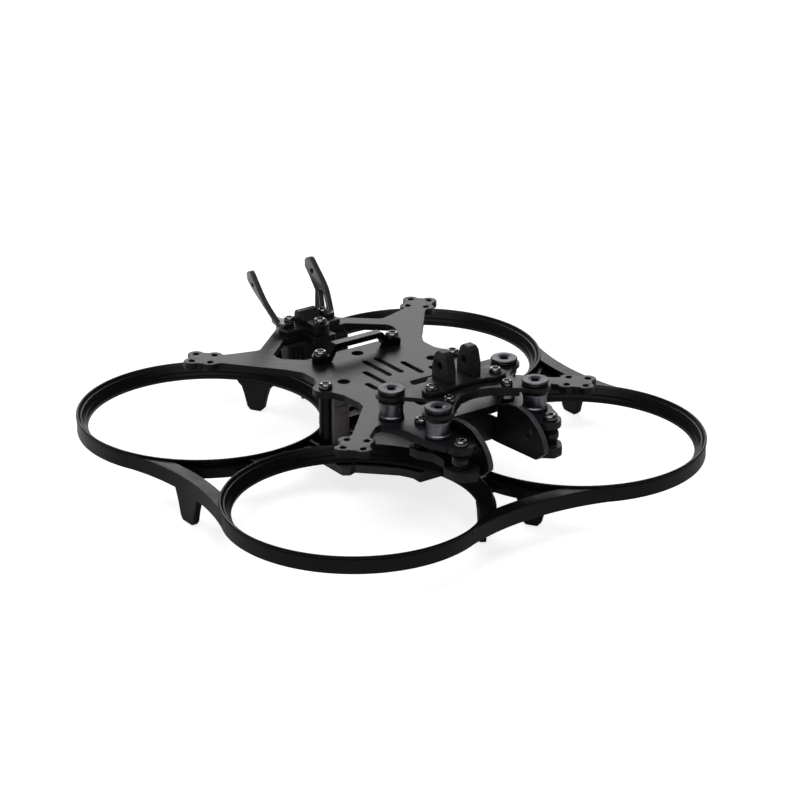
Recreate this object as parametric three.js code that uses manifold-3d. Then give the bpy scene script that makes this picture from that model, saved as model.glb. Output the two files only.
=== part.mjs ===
// Ducted 3-inch quadcopter frame kit: a carbon deck on four moulded propeller ducts, a damped
// action-camera mount, a damped camera cage and two antenna arms.
// Millimetres, +Z up. The nose points along -Y and +X is the frame's left side.
// The origin is on the ground, under the middle of the four motor positions.
import * as THREE from 'three';
import { ConvexGeometry } from 'three/addons/geometries/ConvexGeometry.js';
import { mergeVertices } from 'three/addons/utils/BufferGeometryUtils.js';
import Module from 'manifold-3d';

const wasm = await Module();
wasm.setup();

// ---- driving dimensions ----
const MOTOR = 44.55; // motor centres at (+-MOTOR, +-MOTOR): a 126 mm wheelbase
const DECK = 34.5; // top of the carbon deck above the ground
const DECK_THICK = 2.4;
const DECK_BOTTOM = DECK - DECK_THICK;
const GAP = 0.3; // kept between pieces that touch

const DUCT_OUTER = 43.3; // at the bead round the rim
const DUCT_WALL = 43.07; // outside of the wall below the bead
const DUCT_INNER = 39.3;
const DUCT_TOP = DECK - 18.45;
const DUCT_BOTTOM = DECK - 24.4;
const WAIST = 79.7; // distance from the centre to the outer band, midway between two ducts
const BAND_TOP = DECK - 19.1;
const BAND_WALL = 2.6;
const FLANGE_WIDTH = 5.0;
const FLANGE_THICK = 1.6;
const WEB_THICK = 2.2;

const FOOT_THICK = 2.3;
const FOOT_ANGLE = 31.5; // where each ring's own foot stands, from the X direction towards the nearest end
const RING_SIDES = 48;

const TRAY_TOP = DUCT_BOTTOM - GAP;
const TRAY_BOTTOM = DECK - 27.6;

const MOTOR_HOLE_CIRCLE = 4.5; // radius: four M2 holes on a 9 mm circle
const STACK_REACH = 18.03; // half diagonal of the 25.5 x 25.5 mm stack pattern
const STANDOFF = { x: 25.8, y: -0.8, radius: 2.4 };
const HUB_POST = { x: 22.4, y: -4.3, wide: 6.2, deep: 1.4 }; // upright tab between guard and deck

const POST_REAR = { x: 22.6, y: -33.4 };
const POST_FRONT = { x: 19.3, y: -54.2 };
const POST_RADIUS = 4.2;
const POST_TOP = DECK + 5.8;
const BRACKET_BOTTOM = DECK + 6.9;
const BRACKET_TOP = DECK + 8.4;
const CAP_BOTTOM = DECK + 9.5;
const CAP_TOP = DECK + 10.1;
const CAP_RADIUS = 4.4;
const EYELET_RADIUS = 5.1;
const EYELET_HOLE = 2.9;

const PRONG = { x: 5.0, y: -37.6, thick: 3.3, deep: 8.8, top: DECK + 20.6, pivot: DECK + 15.1 };
const PRONG_SCREW = { x: 12.7, y: -41.7 };
const PRONG_BASE_TOP = DECK + 10.1;
const STUD = { x: 11.5, y: -49.5 };

const LUG = { x: 17.1, y: -63.3 }; // end of each deck horn
const BALL = { x: 17.8, y: -64.1, radius: 2.95 };
const BALL_REAR = { x: 17.2, y: -42.5 };
const WING_TOP = DECK - 8.2;
const WING_BOTTOM = DECK - 11.4;
const CHEEK_IN = 10.0;
const CHEEK_OUT = 12.0;
const CAGE_WALL_Y = -44.6;

const HANDLE = { x: 14.7, y: 18.5, rise: 5.4, foot: 2.2, radius: 2.9, width: 3.0 };
const APRON = { half: 12.6, front: 41.0, rear: 46.0, drop: 10.8 };
const MAST_SCREW = { x: 6.9, y: 48.9 };
const MAST_KNEE = { x: 14.1, y: 54.8, z: DECK + 9.5 };
const MAST_HOLE = { y: 61.7, z: DECK + 14.0 };
const MAST_THICK = 2.2;

// ---- materials ----
const carbon = new THREE.MeshStandardMaterial({ color: 0x2c2c31, roughness: 0.42, metalness: 0.1 });
const moulded = new THREE.MeshStandardMaterial({ color: 0x1c1c1d, roughness: 0.5, metalness: 0.0 });
const anodised = new THREE.MeshStandardMaterial({ color: 0x17171a, roughness: 0.35, metalness: 0.6 });
const capMetal = new THREE.MeshStandardMaterial({ color: 0x55565c, roughness: 0.4, metalness: 0.7 });
const rubber = new THREE.MeshStandardMaterial({ color: 0x141415, roughness: 0.75, metalness: 0.0 });
const steel = new THREE.MeshStandardMaterial({ color: 0xb9bbc0, roughness: 0.2, metalness: 0.95 });

const group = new THREE.Group();

// ---- solids ----
function toSolid(geometry) {
  const plain = geometry.clone();
  plain.deleteAttribute('normal');
  plain.deleteAttribute('uv');
  const merged = mergeVertices(plain, 1e-4);
  return new wasm.Manifold(new wasm.Mesh({
    numProp: 3,
    vertProperties: Float32Array.from(merged.attributes.position.array),
    triVerts: Uint32Array.from(merged.index.array),
  }));
}

function toGeometry(solid) {
  const mesh = solid.getMesh();
  const geometry = new THREE.BufferGeometry();
  geometry.setAttribute('position', new THREE.BufferAttribute(mesh.vertProperties, 3));
  geometry.setIndex(new THREE.BufferAttribute(mesh.triVerts, 1));
  geometry.computeVertexNormals();
  return geometry;
}

function addPart(name, solid, material) {
  const mesh = new THREE.Mesh(toGeometry(solid), material);
  mesh.name = name;
  group.add(mesh);
}

function join(solids) {
  return solids.reduce((whole, next) => whole.add(next));
}

function slab(shape, bottom, top, curveSegments = 6) {
  const options = { depth: top - bottom, bevelEnabled: false, curveSegments };
  const geometry = new THREE.ExtrudeGeometry(shape, options);
  geometry.translate(0, 0, bottom);
  return toSolid(geometry);
}

// A slab whose outline lies in the Y-Z plane, between two X positions.
function sideSlab(shape, left, right, curveSegments = 6) {
  const options = { depth: right - left, bevelEnabled: false, curveSegments };
  const geometry = new THREE.ExtrudeGeometry(shape, options);
  const toSide = new THREE.Matrix4().makeBasis(
    new THREE.Vector3(0, 1, 0), new THREE.Vector3(0, 0, 1), new THREE.Vector3(1, 0, 0));
  geometry.applyMatrix4(toSide);
  geometry.translate(left, 0, 0);
  return toSolid(geometry);
}

// A slab whose outline lies in the X-Z plane, between two Y positions.
function crossSlab(shape, front, rear) {
  const geometry = new THREE.ExtrudeGeometry(shape, { depth: rear - front, bevelEnabled: false });
  geometry.rotateX(Math.PI / 2);
  geometry.translate(0, rear, 0);
  return toSolid(geometry);
}

function post(x, y, radius, bottom, top, sides = 20) {
  const geometry = new THREE.CylinderGeometry(radius, radius, top - bottom, sides);
  geometry.rotateX(Math.PI / 2);
  geometry.translate(x, y, (bottom + top) / 2);
  return toSolid(geometry);
}

// A round bar along X.
function crossBar(y, z, radius, left, right, sides = 16) {
  const geometry = new THREE.CylinderGeometry(radius, radius, right - left, sides);
  geometry.rotateZ(Math.PI / 2);
  geometry.translate((left + right) / 2, y, z);
  return toSolid(geometry);
}

function box(x0, x1, y0, y1, z0, z1) {
  const geometry = new THREE.BoxGeometry(Math.abs(x1 - x0), Math.abs(y1 - y0), Math.abs(z1 - z0));
  geometry.translate((x0 + x1) / 2, (y0 + y1) / 2, (z0 + z1) / 2);
  return toSolid(geometry);
}

// profile: [radius, z] pairs, going up the outside
function revolve(profile, x, y, segments) {
  const points = profile.map(([radius, z]) => new THREE.Vector2(radius, z));
  const geometry = new THREE.LatheGeometry(points, segments);
  geometry.rotateX(Math.PI / 2);
  geometry.translate(x, y, 0);
  return toSolid(geometry);
}

function polygon(points) {
  return new THREE.Shape(points.map(([x, y]) => new THREE.Vector2(x, y)));
}

// The outline given by its +X half and the same points on the other side.
function mirrored(half) {
  const other = half.filter(([x]) => x > 0).map(([x, y]) => [-x, y]).reverse();
  return polygon([...half, ...other]);
}

function arc(cx, cy, radius, from, to, steps) {
  const points = [];
  for (let i = 0; i <= steps; i += 1) {
    const angle = THREE.MathUtils.degToRad(from + ((to - from) * i) / steps);
    points.push([cx + radius * Math.cos(angle), cy + radius * Math.sin(angle)]);
  }
  return points;
}

function moved(solid, matrix) {
  const geometry = toGeometry(solid);
  geometry.applyMatrix4(matrix);
  return toSolid(geometry);
}

function turned(solid, degrees) {
  return moved(solid, new THREE.Matrix4().makeRotationZ(THREE.MathUtils.degToRad(degrees)));
}

// The same solid on the other side of the plane X = 0, with its faces turned right side out again.
function otherSide(solid) {
  const geometry = toGeometry(solid);
  geometry.applyMatrix4(new THREE.Matrix4().makeScale(-1, 1, 1));
  const index = geometry.index.array;
  const reversed = index.map((value, i) => index[i - (i % 3) + (2 - (i % 3))]);
  geometry.setIndex(new THREE.BufferAttribute(reversed, 1));
  return toSolid(geometry);
}

// ---- ducts ----
const quarters = [
  ['front_left', 1, -1],
  ['front_right', -1, -1],
  ['rear_left', 1, 1],
  ['rear_right', -1, 1],
];

// Each ring carries one foot, a tongue of its own wall, on the side nearest the frame's Y axis.
function ductRing(x, y) {
  const profile = [
    [DUCT_INNER, DUCT_BOTTOM + 0.8],
    [DUCT_WALL, DUCT_BOTTOM],
    [DUCT_OUTER, DUCT_TOP - 0.6],
    [DUCT_WALL - 0.2, DUCT_TOP],
    [DUCT_WALL - 0.8, DUCT_TOP - 0.2],
    [DUCT_INNER, DUCT_BOTTOM + 1.9],
    [DUCT_INNER, DUCT_BOTTOM + 0.8],
  ];
  const tongue = sideSlab(footOutline(3.1, 5.9), DUCT_INNER - 4, DUCT_OUTER + 4);
  const wall = post(0, 0, DUCT_INNER + FOOT_THICK, 0, DUCT_BOTTOM + 1, RING_SIDES)
    .subtract(post(0, 0, DUCT_INNER, -1, DUCT_BOTTOM + 2, RING_SIDES));
  const legAngle = x * y > 0 ? 180 - FOOT_ANGLE : 180 + FOOT_ANGLE;
  const leg = turned(tongue, x > 0 ? legAngle : 180 + legAngle).intersect(wall);
  return moved(revolve(profile, 0, 0, RING_SIDES).add(leg), new THREE.Matrix4().makeTranslation(x, y, 0));
}

// The band's outer edge is an arc that meets both ducts tangentially.
function bandRadius() {
  const reach = WAIST - MOTOR;
  return (reach * reach + MOTOR * MOTOR - DUCT_WALL * DUCT_WALL) / (2 * (DUCT_WALL - reach));
}

// Built for the side at +X, then turned into place. Covers the space between two ducts.
function ductJoin(withFoot) {
  const radius = bandRadius();
  const centre = WAIST + radius;
  const reachAngle = THREE.MathUtils.radToDeg(Math.atan2(MOTOR, centre - MOTOR)) - 2.5;
  const ring = (inner, outer) => polygon([
    ...arc(centre, 0, inner, 180 - reachAngle, 180 + reachAngle, 16),
    ...arc(centre, 0, outer, 180 + reachAngle, 180 - reachAngle, 16),
  ]);
  let body = join([
    slab(ring(radius, radius + BAND_WALL), DUCT_BOTTOM, BAND_TOP),
    slab(ring(radius, radius + FLANGE_WIDTH), BAND_TOP - FLANGE_THICK, BAND_TOP),
  ]);
  // floor webs at the outer corners and along the neck, with upright ribs
  const floor = polygon([[17.5, -14], [WAIST - 12, -14], [WAIST - 12, 14], [17.5, 14]]);
  body = body.add(slab(floor, DUCT_BOTTOM, DUCT_BOTTOM + WEB_THICK));
  const outerFloor = polygon([[WAIST - 1, -24], [WAIST + 6, -34], [WAIST + 6, 34], [WAIST - 1, 24],
    [WAIST - 9, 12], [WAIST - 9, -12]]);
  const outerWeb = slab(outerFloor, DUCT_BOTTOM, DUCT_BOTTOM + WEB_THICK)
    .intersect(slab(ring(radius, radius + 24), DUCT_BOTTOM - 1, BAND_TOP));
  body = body.add(outerWeb);
  body = body.subtract(slab(polygon([[58, -9.4], [74.4, -9.4], [74.4, 9.4], [58, 9.4]]), 0, DECK));
  body = body.add(box(29.3, 53.6, -0.7, 0.7, DUCT_BOTTOM, DUCT_TOP - 1.2));
  for (const x of [29.3, 41.2, 53.6]) {
    body = body.add(box(x - 0.6, x + 0.6, -9, 9, DUCT_BOTTOM, DUCT_TOP - 0.9));
  }
  body = body.add(box(41.2, 53.6, -4, 4, DUCT_TOP - 2.0, DUCT_TOP - 1.0));
  for (const side of [-1, 1]) {
    const skin = post(MOTOR, side * MOTOR, DUCT_OUTER + GAP + 1.3, DUCT_BOTTOM, DUCT_BOTTOM + 3.4, RING_SIDES)
      .intersect(box(54, WAIST - 3, 0, side * 18, 0, DECK));
    body = body.add(skin);
  }
  body = body.add(post(STANDOFF.x, 0, 3.6, DUCT_BOTTOM, DUCT_BOTTOM + WEB_THICK + 1.0, 18));
  if (withFoot) {
    body = body.add(sideSlab(footOutline(3.9, 6.9), WAIST - FOOT_THICK, WAIST));
  }
  for (const side of [-1, 1]) {
    body = body.subtract(post(MOTOR, side * MOTOR, DUCT_OUTER + GAP, 0, DECK, RING_SIDES));
  }
  return body;
}

// A foot is a thin tongue, wide at its root and clipped at its tip. Half widths at tip and root.
function footOutline(tip, root) {
  return mirrored([
    [0, DUCT_BOTTOM + 0.4], [root + 1.2, DUCT_BOTTOM + 0.4], [root - 0.8, DUCT_BOTTOM - 1.2],
    [(tip + root) / 2 - 0.4, DUCT_BOTTOM - 4.0], [tip, 1.2], [tip - 1.1, 0], [0, 0],
  ]);
}

// The tray's diagonal edges stand flush with the ducts' inner walls.
function trayOutline() {
  const end = [[0, 29.4], [8.3, 29.4], [9.9, 25.6], [11.6, 22.4], [22.1, 12.0], [24.6, 13.0], [26.8, 11.5]];
  return mirrored([...end, ...end.map(([x, y]) => [x, -y]).reverse()]);
}

function hubTray() {
  let body = slab(trayOutline(), TRAY_BOTTOM, TRAY_TOP);
  for (const [x, y] of [[STACK_REACH, 0], [-STACK_REACH, 0]]) {
    body = body.subtract(post(x, y, 1.6, 0, DECK, 12));
  }
  body = body.add(box(-8.3, 8.3, -29.4, -25.0, TRAY_BOTTOM - 0.8, TRAY_TOP));
  return body;
}

// ---- deck ----
function deckOutline() {
  return mirrored([
    [0, 56.5], [7.6, 56.5], [8.9, 53.6], [25.3, 39.5], [37.0, 43.0], [40.0, 46.2],
    [46.2, 40.0], [41.8, 36.8], [27.6, 19.2], [24.6, 14.0], [24.6, 7.6], [26.6, 3.4],
    [26.6, -5.0], [24.7, -10.0], [24.2, -18.0], [24.9, -20.8], [40.6, -37.4], [46.2, -40.4],
    [40.4, -46.2], [36.4, -41.4], [31.4, -37.3], [28.4, -36.6], [25.6, -46.0], [25.0, -54.2],
    [22.4, -62.6], [14.2, -62.6], [14.6, -50.0], [13.2, -45.0], [0, -45.0],
  ]);
}

function motorPad(x, y) {
  const lobes = [post(x, y, 5.0, DECK_BOTTOM, DECK, 12)];
  for (const [dx, dy] of [[1, 0], [-1, 0], [0, 1], [0, -1]]) {
    lobes.push(post(x + dx * MOTOR_HOLE_CIRCLE, y + dy * MOTOR_HOLE_CIRCLE, 2.8, DECK_BOTTOM, DECK, 14));
  }
  return join(lobes);
}

function slotAlongY(x, rear, front, width) {
  const half = width / 2;
  const shape = polygon([
    ...arc(x, rear - half, half, 0, 180, 4),
    ...arc(x, front + half, half, 180, 360, 4),
  ]);
  return slab(shape, 0, DECK + 1);
}

function carbonDeck() {
  const solids = [slab(deckOutline(), DECK_BOTTOM, DECK)];
  for (const side of [-1, 1]) {
    solids.push(post(side * STANDOFF.x, STANDOFF.y, 4.3, DECK_BOTTOM, DECK, 20));
    solids.push(post(side * POST_REAR.x, POST_REAR.y, 6.0, DECK_BOTTOM, DECK, 20));
    solids.push(post(side * POST_FRONT.x, POST_FRONT.y, 5.8, DECK_BOTTOM, DECK, 20));
    solids.push(post(side * LUG.x, LUG.y, 4.7, DECK_BOTTOM, DECK, 20));
  }
  for (const [, sx, sy] of quarters) {
    solids.push(motorPad(sx * MOTOR, sy * MOTOR));
  }
  let body = join(solids);
  const rearOpening = mirrored([[0, 37.0], [4.5, 37.0], [4.5, 43.2], [12.6, 43.2], [23.6, 33.6],
    [24.0, 30.6], [23.4, 28.2], [17.6, 23.2], [0, 23.2]]);
  const frontOpening = mirrored([[0, -12.4], [9.4, -12.4], [9.4, -31.0], [0, -31.0]]);
  const cuts = [slab(rearOpening, 0, DECK + 1), slab(frontOpening, 0, DECK + 1)];
  for (const side of [-1, 1]) {
    cuts.push(slotAlongY(side * 2.4, 11.2, -4.7, 1.9));
    cuts.push(slotAlongY(side * 7.7, 3.3, -8.8, 1.9));
    cuts.push(slotAlongY(side * 12.9, -5.5, -12.1, 1.9));
    cuts.push(post(side * STACK_REACH, 0, 2.0, 0, DECK + 1, 14));
  }
  cuts.push(post(0, STACK_REACH, 2.0, 0, DECK + 1, 14));
  for (const [, sx, sy] of quarters) {
    for (const [dx, dy] of [[1, 0], [-1, 0], [0, 1], [0, -1]]) {
      const x = sx * MOTOR + dx * MOTOR_HOLE_CIRCLE;
      const y = sy * MOTOR + dy * MOTOR_HOLE_CIRCLE;
      cuts.push(post(x, y, 1.05, 0, DECK + 1, 8));
    }
  }
  for (const cut of cuts) {
    body = body.subtract(cut);
  }
  return body;
}

// ---- screws and spacers ----
// A socket-head screw's head, standing on a face, with a hexagonal socket.
function screwHead(x, y, seat, radius, height) {
  const profile = [[0, seat], [radius, seat], [radius, seat + height * 0.55], [radius * 0.72, seat + height],
    [0, seat + height]];
  const head = revolve(profile, x, y, 14);
  return head.subtract(post(x, y, radius * 0.42, seat + height * 0.45, seat + height + 1, 6));
}

function standoff(x, y) {
  return post(x, y, STANDOFF.radius, DUCT_BOTTOM + WEB_THICK + 1.0 + GAP, DECK_BOTTOM - GAP, 16);
}

function hubPost(side) {
  const { y, wide, deep } = HUB_POST;
  const x = side * HUB_POST.x;
  const bottom = DUCT_BOTTOM + WEB_THICK + 1.0 + GAP;
  return box(x - wide / 2, x + wide / 2, y - deep / 2, y + deep / 2, bottom, DECK_BOTTOM - GAP);
}

// ---- bridge handle ----
function handle() {
  const { x, y, rise, foot, radius, width } = HANDLE;
  const seat = DECK + GAP;
  const sideView = mirrored([
    [0, seat + rise - 1.9], [8.6, seat + rise - 1.9], [x - 3.4, seat], [x + 3.2, seat],
    [x + 3.2, seat + foot], [x - 2.6, seat + foot], [9.6, seat + rise], [0, seat + rise],
  ]);
  const fromAbove = mirrored([
    [0, y - width / 2], [9.2, y - width / 2], ...arc(x, y, radius, -125, 125, 10),
    [9.2, y + width / 2], [0, y + width / 2],
  ]);
  let body = crossSlab(sideView, y - radius, y + radius).intersect(slab(fromAbove, DECK, DECK + 9));
  for (const side of [-1, 1]) {
    body = body.subtract(post(side * x, y, 1.1, 0, DECK + 9, 12));
  }
  return body;
}

// ---- antenna mount ----
function antennaMount() {
  const seat = DECK + GAP;
  const base = mirrored([[0, 55.5], [6.0, 55.5], [9.2, 52.4], [10.8, 49.4], [10.8, 43.6], [3.4, 43.0],
    [3.4, 40.3], [0, 37.4]]);
  let body = join([
    slab(base, seat, DECK + 1.9),
    post(0, 40.5, 3.3, seat, DECK + 3.9, 24),
    box(-3.2, 3.2, 40.5, 47.0, seat, DECK + 3.9),
  ]);
  const hump = polygon([[44.5, seat], [50.6, seat], [50.6, DECK + 5.4], [49.9, DECK + 6.5],
    [47.6, DECK + 6.5], [45.0, DECK + 3.9]]);
  body = body.add(sideSlab(hump, -3.8, 3.8));
  return body;
}

// The apron below the tail: it hangs behind the rear opening of the deck.
function underBlock() {
  const { half, front, rear, drop } = APRON;
  return box(-half, half, front, rear, DECK_BOTTOM - drop, DECK_BOTTOM - GAP);
}

// One antenna arm, built at +X: a flat foot under its screw, a leaning slotted bar and a raked tip.
function antennaArm(side) {
  const foot = DECK + 1.9 + GAP;
  const bar = blade([
    [11.9, 48.2, foot], [MAST_KNEE.x, MAST_KNEE.y, MAST_KNEE.z],
    [13.5, 60.2, DECK + 11.0], [9.9, 54.8, foot],
  ]);
  const slot = blade([
    [11.7, 50.3, DECK + 3.3], [13.6, 55.1, DECK + 8.8], [13.0, 57.2, DECK + 8.8], [10.8, 53.2, DECK + 3.3],
  ], 4.4);
  const tip = blade([
    [MAST_KNEE.x, MAST_KNEE.y, MAST_KNEE.z - 0.5], [13.7, 62.7, DECK + 17.6], [13.6, 63.7, DECK + 18.3],
    [13.4, 64.9, DECK + 18.1], [13.3, 65.9, DECK + 17.1], [13.3, 65.6, DECK + 14.6],
    [13.5, 61.0, DECK + 10.5],
  ]);
  const tab = polygon([
    ...arc(MAST_SCREW.x, MAST_SCREW.y, 2.3, 90, 270, 6),
    [10.4, MAST_SCREW.y - 2.3], [11.6, MAST_SCREW.y + 0.6], [10.6, MAST_SCREW.y + 5.6],
    [8.0, MAST_SCREW.y + 5.6], [MAST_SCREW.x, MAST_SCREW.y + 2.3],
  ]);
  const body = join([bar.subtract(slot), tip, slab(tab, foot, foot + 1.4)])
    .subtract(crossBar(MAST_HOLE.y, MAST_HOLE.z, 0.8, 0, 20, 10));
  return side < 0 ? otherSide(body) : body;
}

// A flat bar from the corners of its outer face, with its thickness towards the frame's middle.
function blade(corners, thick = MAST_THICK) {
  const points = [];
  const spare = (thick - MAST_THICK) / 2;
  for (const [x, y, z] of corners) {
    points.push(new THREE.Vector3(x + spare, y, z));
    points.push(new THREE.Vector3(x - MAST_THICK - spare, y, z));
  }
  return toSolid(new ConvexGeometry(points));
}

// ---- damped action-camera mount ----
function bracketOutline() {
  return mirrored([
    [0, -32.3], [13.6, -32.3], [11.8, -28.4], [22.6, -28.4], [22.6, -38.0], [17.4, -43.0],
    [17.0, -48.6], [19.3, -54.2], [16.0, -57.6], [10.6, -52.2], [6.0, -48.6], [0, -47.4],
  ]);
}

function dampedBracket() {
  const eyelets = [];
  for (const side of [-1, 1]) {
    eyelets.push(post(side * POST_REAR.x, POST_REAR.y, EYELET_RADIUS, BRACKET_BOTTOM, BRACKET_TOP, 18));
    eyelets.push(post(side * POST_FRONT.x, POST_FRONT.y, EYELET_RADIUS, BRACKET_BOTTOM, BRACKET_TOP, 18));
  }
  let body = join([slab(bracketOutline(), BRACKET_BOTTOM, BRACKET_TOP), ...eyelets]);
  const lip = mirrored([[0, -44.6], [8.0, -45.6], [13.0, -49.0], [14.4, -52.4], [12.9, -54.4],
    [10.6, -52.2], [6.0, -48.6], [0, -47.4]]);
  body = body.add(slab(lip, BRACKET_BOTTOM - 1.4, BRACKET_TOP));
  for (const side of [-1, 1]) {
    for (const spot of [POST_REAR, POST_FRONT]) {
      body = body.subtract(post(side * spot.x, spot.y, EYELET_HOLE + GAP, 0, 90, 14));
    }
    body = body.subtract(post(side * STUD.x, STUD.y, 1.2 + GAP, 0, 90, 12));
  }
  return body;
}

function prongMount() {
  const seat = BRACKET_TOP + GAP;
  const outline = mirrored([[0, -33.0], [8.0, -33.0], [12.7, -37.8], [15.6, -40.0], [16.4, -42.6],
    [14.4, -45.2], [10.0, -45.6], [7.4, -44.4], [0, -43.6]]);
  let body = slab(outline, seat, PRONG_BASE_TOP);
  const half = PRONG.deep / 2;
  const finger = new THREE.Shape();
  finger.moveTo(PRONG.y - half, seat);
  finger.lineTo(PRONG.y + half, seat);
  finger.lineTo(PRONG.y + half - 0.3, PRONG.pivot);
  finger.lineTo(PRONG.y + 2.4, PRONG.top - 0.9);
  finger.lineTo(PRONG.y + 1.0, PRONG.top);
  finger.lineTo(PRONG.y - 1.6, PRONG.top);
  finger.lineTo(PRONG.y - 3.0, PRONG.top - 0.9);
  finger.lineTo(PRONG.y - half + 0.3, PRONG.pivot);
  for (const side of [-1, 1]) {
    const left = side * PRONG.x - PRONG.thick / 2;
    body = body.add(sideSlab(finger, left, left + PRONG.thick));
  }
  body = body.subtract(crossBar(PRONG.y + 0.4, PRONG.pivot, 1.35, -12, 12, 14));
  for (const side of [-1, 1]) {
    body = body.subtract(post(side * PRONG_SCREW.x, PRONG_SCREW.y, 1.1, 0, 90, 12));
  }
  return body;
}

function damperPost(x, y) {
  return revolve([[1.2, DECK + GAP], [POST_RADIUS, DECK + GAP], [POST_RADIUS, POST_TOP - 0.4],
    [POST_RADIUS - 0.4, POST_TOP], [1.2, POST_TOP], [1.2, DECK + GAP]], x, y, 18);
}

function damperGrommet(x, y) {
  const foot = POST_TOP + GAP / 2;
  const crown = CAP_BOTTOM - GAP / 2;
  return revolve([[1.2, foot], [4.4, foot], [4.4, BRACKET_BOTTOM - 0.45], [2.6, BRACKET_BOTTOM - 0.45],
    [2.6, BRACKET_TOP + 0.45], [4.4, BRACKET_TOP + 0.45], [4.4, crown], [1.2, crown], [1.2, foot]], x, y, 16);
}

function damperCap(x, y) {
  return revolve([[1.3, CAP_BOTTOM], [CAP_RADIUS, CAP_BOTTOM], [CAP_RADIUS, CAP_TOP - 0.2],
    [CAP_RADIUS - 0.3, CAP_TOP], [1.3, CAP_TOP], [1.3, CAP_BOTTOM]], x, y, 18);
}

function bracketStud(side) {
  const x = side * STUD.x;
  const bottom = DECK + 4.1;
  const nut = post(x, STUD.y, 2.2, bottom, BRACKET_BOTTOM - 1.4 - GAP, 6);
  const shank = post(x, STUD.y, 1.2, bottom + 0.5, BRACKET_TOP + GAP + 0.3, 12);
  return join([nut, shank, screwHead(x, STUD.y, BRACKET_TOP + GAP, 1.9, 1.4)]);
}

// ---- damped camera cage ----
function cheek(side) {
  const outline = polygon([
    [CAGE_WALL_Y + 0.6, DECK - 12.5], [CAGE_WALL_Y + 0.6, DECK - 5.4], [-46.2, DECK - 3.6],
    [-46.8, DECK + 0.8], [-52.0, DECK + 3.0], [-56.5, DECK + 3.5], [-62.5, DECK + 2.6], [-67.4, DECK - 0.5],
    [-69.9, DECK - 3.4], [-71.1, DECK - 6.4], [-71.0, DECK - 8.2], [-66.9, DECK - 11.5], [-48.5, DECK - 12.4],
  ]);
  const left = side > 0 ? CHEEK_IN : -CHEEK_OUT;
  let body = sideSlab(outline, left, left + CHEEK_OUT - CHEEK_IN);
  body = body.subtract(crossBar(-64.3, DECK - 2.5, 1.1, -20, 20, 12));
  body = body.subtract(crossBar(-61.6, DECK - 5.2, 1.0, -20, 20, 10));
  return body;
}

// The rear wall between the cheeks and one wing outside each cheek, which sits on two rubber balls.
function cageCradle() {
  const wing = (side) => {
    const shape = polygon([
      [CHEEK_OUT + GAP, -38.6], [18.6, -38.6], [20.8, -40.6], [20.6, -44.4], [17.8, -49.4], [18.0, -55.6],
      [21.8, -60.6], [21.6, -65.4], [19.0, -69.2], [15.2, -70.0], [CHEEK_OUT + GAP, -67.0],
    ].map(([x, y]) => [side * x, y]));
    return slab(shape, WING_BOTTOM, WING_TOP);
  };
  const low = DECK - 12.6;
  const outline = mirrored([[0, DECK - 3.2], [8.7, DECK - 3.2], [12.6, DECK - 5.4], [13.6, WING_TOP],
    [13.6, low], [0, low]]);
  const wall = crossSlab(outline, CAGE_WALL_Y + 0.6 + GAP, CAGE_WALL_Y + 3.2);
  return join([wall, wing(1), wing(-1)]);
}

function rubberBall(x, y) {
  const top = DECK_BOTTOM - GAP;
  const bottom = WING_TOP + 1.1;
  const r = BALL.radius;
  return revolve([[0, bottom], [r * 0.75, bottom], [r, bottom + 1.2], [r, top - 1.6], [r * 0.7, top - 0.5],
    [r * 0.7, top], [0, top]], x, y, 14);
}

// ---- assembly ----
for (const [name, sx, sy] of quarters) {
  addPart(`duct_ring_${name}`, ductRing(sx * MOTOR, sy * MOTOR), moulded);
}
const sideJoin = ductJoin(true);
const endJoin = ductJoin(false);
addPart('duct_join_left', sideJoin, moulded);
addPart('duct_join_right', turned(sideJoin, 180), moulded);
addPart('duct_join_rear', turned(endJoin, 90), moulded);
addPart('duct_join_front', turned(endJoin, -90), moulded);
addPart('hub_tray', hubTray(), moulded);
addPart('carbon_deck', carbonDeck(), carbon);

for (const [name, side] of [['left', 1], ['right', -1]]) {
  addPart(`standoff_${name}`, standoff(side * STANDOFF.x, STANDOFF.y), anodised);
  addPart(`standoff_screw_${name}`, screwHead(side * STANDOFF.x, STANDOFF.y, DECK + GAP, 2.3, 1.4), steel);
  addPart(`hub_post_${name}`, hubPost(side), moulded);
  addPart(`handle_screw_${name}`,
    screwHead(side * HANDLE.x, HANDLE.y, DECK + HANDLE.foot + 2 * GAP, 2.4, 1.5), steel);
  addPart(`antenna_arm_${name}`, antennaArm(side), anodised);
  addPart(`antenna_screw_${name}`,
    screwHead(side * MAST_SCREW.x, MAST_SCREW.y, DECK + 3.3 + 2 * GAP, 1.8, 1.2), steel);
  addPart(`prong_screw_${name}`,
    screwHead(side * PRONG_SCREW.x, PRONG_SCREW.y, PRONG_BASE_TOP + GAP, 2.1, 1.2), steel);
  addPart(`bracket_stud_${name}`, bracketStud(side), anodised);
  addPart(`cheek_plate_${name}`, cheek(side), carbon);
  addPart(`ball_screw_front_${name}`, screwHead(side * BALL.x, BALL.y, DECK + GAP, 2.4, 1.4), steel);
  addPart(`ball_screw_rear_${name}`,
    screwHead(side * BALL_REAR.x, BALL_REAR.y, DECK + GAP, 2.4, 1.4), anodised);
  addPart(`rubber_ball_front_${name}`, rubberBall(side * BALL.x, BALL.y), rubber);
  addPart(`rubber_ball_rear_${name}`, rubberBall(side * BALL_REAR.x, BALL_REAR.y), rubber);
}
addPart('bridge_handle', handle(), anodised);
addPart('antenna_mount', antennaMount(), moulded);
addPart('antenna_under_block', underBlock(), moulded);
addPart('antenna_mount_screw', screwHead(0, 40.5, DECK + 3.9 + GAP, 2.3, 1.4), steel);

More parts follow.
